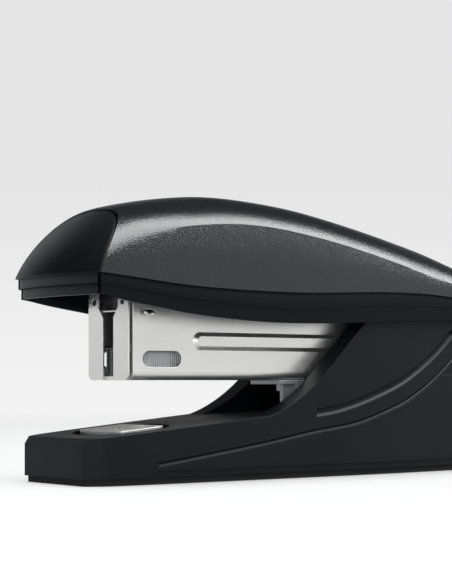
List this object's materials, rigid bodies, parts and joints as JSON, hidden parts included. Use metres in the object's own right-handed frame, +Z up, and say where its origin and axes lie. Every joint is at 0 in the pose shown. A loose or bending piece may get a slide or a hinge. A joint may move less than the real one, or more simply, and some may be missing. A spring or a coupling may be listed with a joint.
{
  "type": "desk stapler",
  "caption": "Black desk stapler with a steel magazine, sprung follower, opening handle and a turning anvil on a padded base.",
  "frame": {"origin": "middle of the bounding box, on the surface that the stapler stands on", "axes": "+X runs from the nose to the hinge end, +Z is up, and +Y is the far side as seen in the picture, whose camera stands on the -Y side"},
  "size_m": [0.1507, 0.0376, 0.0675],
  "materials": {
    "cap_plastic": "black, fine leather grain, soft satin",
    "smooth_plastic": "black, smooth satin",
    "base_plastic": "black, fine spark grain",
    "inner_plastic": "black acetal",
    "rubber": "soft ribbed rubber",
    "nickel_steel": "bright nickel plate",
    "grey_steel": "grey zinc plate",
    "dark_steel": "dark hardened steel",
    "staple_wire": "galvanised wire",
    "spring_steel": "spring steel"
  },
  "bodies": {
    "base": {"base_shell": "base_plastic", "heel_trim": "base_plastic", "base_plate": "grey_steel", "base_pad": "rubber", "base_screws": "nickel_steel", "hinge_bracket": "grey_steel", "bracket_rivets": "nickel_steel", "hinge_pin": "nickel_steel", "pin_heads": "nickel_steel", "lift_spring": "spring_steel", "lift_rivets": "nickel_steel", "anvil_spring": "spring_steel"},
    "magazine": {"magazine_sleeve": "nickel_steel", "front_plate": "nickel_steel", "staple_core": "grey_steel", "core_rivets": "nickel_steel", "staple_strip": "staple_wire", "follower_rod": "nickel_steel", "rod_brackets": "grey_steel", "rod_nut": "nickel_steel", "follower_spring": "spring_steel", "magazine_bridge": "grey_steel", "bridge_pins": "nickel_steel", "handle_spring": "spring_steel", "spring_rivet": "nickel_steel", "magazine_strap": "grey_steel", "strap_rivet": "nickel_steel", "magazine_bush": "inner_plastic"},
    "handle": {"cap_shell": "cap_plastic", "nose_cover": "smooth_plastic", "cap_rim": "smooth_plastic", "driver_arm": "grey_steel", "cap_posts": "smooth_plastic", "arm_screws": "nickel_steel", "driver_blade": "dark_steel", "blade_rivets": "nickel_steel"},
    "follower": {"follower": "inner_plastic", "follower_face": "grey_steel"},
    "anvil_button": {"anvil_button": "inner_plastic"},
    "anvil": {"anvil": "nickel_steel"}
  },
  "joints": [
    {"name": "magazine_hinge", "type": "hinge", "parent": "base", "child": "magazine", "pos_m": [0.056, 0, 0.0305], "axis": [0, 1, 0], "range_deg": [-4.7, 0], "stiffness_Nm_per_rad": 0.15, "springref_deg": 40.11, "deforming": ["lift_spring"]},
    {"name": "handle_hinge", "type": "hinge", "parent": "magazine", "child": "handle", "pos_m": [0.056, 0, 0.0305], "axis": [0, 1, 0], "range_deg": [-4.1, 50], "stiffness_Nm_per_rad": 2, "springref_deg": 1.15, "deforming": ["handle_spring"]},
    {"name": "follower_slide", "type": "slide", "parent": "magazine", "child": "follower", "axis": [1, 0, 0], "range_m": [0, 0.045], "stiffness_N_per_m": 20, "springref_m": -0.03, "deforming": ["follower_spring"]},
    {"name": "anvil_lift", "type": "slide", "parent": "base", "child": "anvil_button", "axis": [-0.0924, 0, 0.9957], "range_m": [0, 0.0008], "stiffness_N_per_m": 300, "springref_m": -0.001, "deforming": ["anvil_spring"]},
    {"name": "anvil_turn", "type": "hinge", "parent": "anvil_button", "child": "anvil", "pos_m": [-0.0553, 0, 0.01208], "axis": [-0.0924, 0, 0.9957], "range_deg": [0, 180]}
  ]
}
